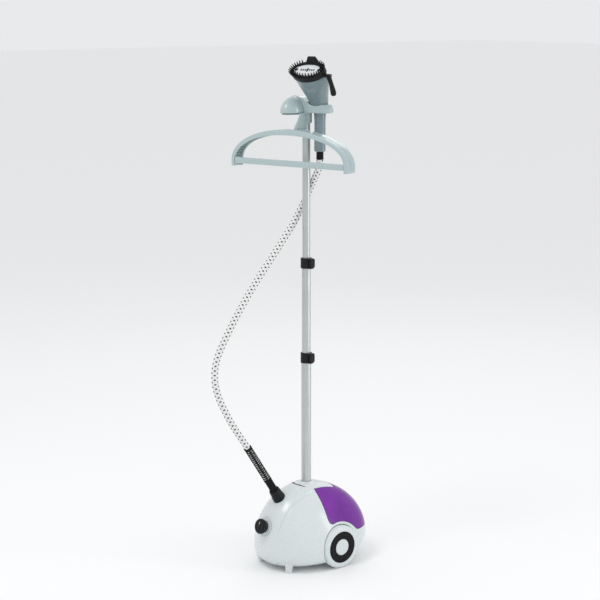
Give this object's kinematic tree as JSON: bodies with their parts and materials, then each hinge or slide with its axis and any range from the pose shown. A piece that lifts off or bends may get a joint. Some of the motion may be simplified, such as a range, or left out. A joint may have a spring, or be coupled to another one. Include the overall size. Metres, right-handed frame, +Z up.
{
  "type": "garment steamer",
  "caption": "Upright garment steamer: wheeled boiler base with lift-out water tank, telescopic pole, hanger head and hose-fed brush handset.",
  "frame": {"origin": "under the middle of the machine without its hose, on the floor", "axes": "+Z up along the pole, -Y to the front where the control knob is, +X to the machine's right"},
  "size_m": [0.3951, 0.4785, 1.453],
  "materials": {
    "white_shell": "glossy white moulded plastic",
    "tank_purple": "translucent tinted plastic, glossy",
    "grey_blue": "glossy grey-blue moulded plastic",
    "dark_grey_blue": "satin darker grey-blue moulded plastic",
    "black_plastic": "satin black moulded plastic",
    "black_rubber": "matt black rubber",
    "pole_tube": "satin silver-grey tube",
    "bright_steel": "plain machined steel",
    "cast_alloy": "rough cast alloy",
    "steam_plate": "light satin moulded plate",
    "hose_braid": "white braided textile sleeve with dark flecks",
    "pipe_rubber": "silicone rubber pipe"
  },
  "bodies": {
    "base": {"base_shell": "white_shell", "base_pan": "white_shell", "tank_bay": "white_shell", "valve_seat": "white_shell", "boiler": "cast_alloy", "boiler_bracket": "bright_steel", "thermostat": "black_plastic", "steam_pipe": "pipe_rubber", "feed_pipe": "pipe_rubber", "rotary_switch": "black_plastic", "mains_gland": "black_plastic", "wheel_axle": "bright_steel", "foot_left": "white_shell", "foot_right": "white_shell", "pole_socket": "white_shell", "pole_trim": "white_shell", "pole_lower": "pole_tube", "clamp_lower_body": "black_plastic", "clamp_lower_pin": "bright_steel", "hose_socket": "black_plastic", "hose_cuff": "black_plastic", "hose_sleeve": "black_rubber", "hose_net": "black_rubber", "steam_hose": "hose_braid"},
    "dial": {"knob": "black_plastic", "knob_spindle": "bright_steel"},
    "tank": {"water_tank": "tank_purple"},
    "cap": {"tank_cap": "black_plastic"},
    "valve": {"valve_plunger": "bright_steel"},
    "wheel_l": {"wheel_left": "white_shell", "wheel_ring_left": "black_rubber", "hub_cap_left": "white_shell"},
    "wheel_r": {"wheel_right": "white_shell", "wheel_ring_right": "black_rubber", "hub_cap_right": "white_shell"},
    "lower_lever": {"clamp_lower_lever": "black_plastic"},
    "middle": {"pole_middle": "pole_tube", "middle_bush": "black_plastic", "clamp_upper_body": "black_plastic", "clamp_upper_pin": "bright_steel"},
    "upper_lever": {"clamp_upper_lever": "black_plastic"},
    "upper": {"pole_upper": "pole_tube", "upper_bush": "black_plastic", "head_body": "grey_blue", "head_hood": "grey_blue", "hood_cover": "dark_grey_blue", "hanger_arc": "grey_blue", "hanger_bar": "grey_blue", "hanger_neck": "grey_blue"},
    "handset": {"handset_front": "dark_grey_blue", "handset_rear": "dark_grey_blue", "handset_tube": "pipe_rubber", "steam_plate": "steam_plate", "plate_gasket": "black_rubber", "brush_frame": "black_plastic", "brush_bristles": "black_plastic", "lever_pin": "bright_steel", "lever_spring": "bright_steel", "handset_cuff": "black_rubber"},
    "press_lever": {"brush_lever": "black_plastic"}
  },
  "joints": [
    {"name": "knob_turn", "type": "hinge", "parent": "base", "child": "dial", "pos_m": [-0.0175, -0.1525, 0.127], "axis": [0, -0.9659, 0.2588], "range_deg": [0, 270]},
    {"name": "tank_lift", "type": "slide", "parent": "base", "child": "tank", "axis": [0, 0, 1], "range_m": [0, 0.09]},
    {"name": "cap_turn", "type": "hinge", "parent": "tank", "child": "cap", "pos_m": [-0.0175, 0.111, 0.09], "axis": [0, 0, 1], "range_deg": [0, 90]},
    {"name": "valve_press", "type": "slide", "parent": "cap", "child": "valve", "axis": [0, 0, 1], "range_m": [0, 0.003], "stiffness_N_per_m": 120, "springref_m": -0.0005},
    {"name": "wheel_left_spin", "type": "hinge", "parent": "base", "child": "wheel_l", "pos_m": [-0.1355, 0.027, 0.062], "axis": [1, 0, 0], "continuous": true},
    {"name": "wheel_right_spin", "type": "hinge", "parent": "base", "child": "wheel_r", "pos_m": [0.1005, 0.027, 0.062], "axis": [1, 0, 0], "continuous": true},
    {"name": "clamp_lower_flip", "type": "hinge", "parent": "base", "child": "lower_lever", "pos_m": [0.00428, -0.00345, 0.5995], "axis": [0, 0, -1], "range_deg": [0, 110]},
    {"name": "pole_middle_slide", "type": "slide", "parent": "base", "child": "middle", "axis": [0, 0, 1], "range_m": [-0.2, 0.05], "deforming": ["steam_hose"]},
    {"name": "clamp_upper_flip", "type": "hinge", "parent": "middle", "child": "upper_lever", "pos_m": [0.00428, -0.00345, 0.8725], "axis": [0, 0, -1], "range_deg": [0, 110]},
    {"name": "pole_upper_slide", "type": "slide", "parent": "middle", "child": "upper", "axis": [0, 0, 1], "range_m": [-0.2, 0.03], "deforming": ["steam_hose"]},
    {"name": "handset_lift", "type": "slide", "parent": "upper", "child": "handset", "axis": [0, 0, 1], "range_m": [0, 0.1], "deforming": ["steam_hose"]},
    {"name": "brush_lever_press", "type": "hinge", "parent": "handset", "child": "press_lever", "pos_m": [0.09163, -0.0111, 1.401], "axis": [-0.2588, 0.9659, 0], "range_deg": [0, 12], "stiffness_Nm_per_rad": 0.4, "springref_deg": -5.73}
  ]
}
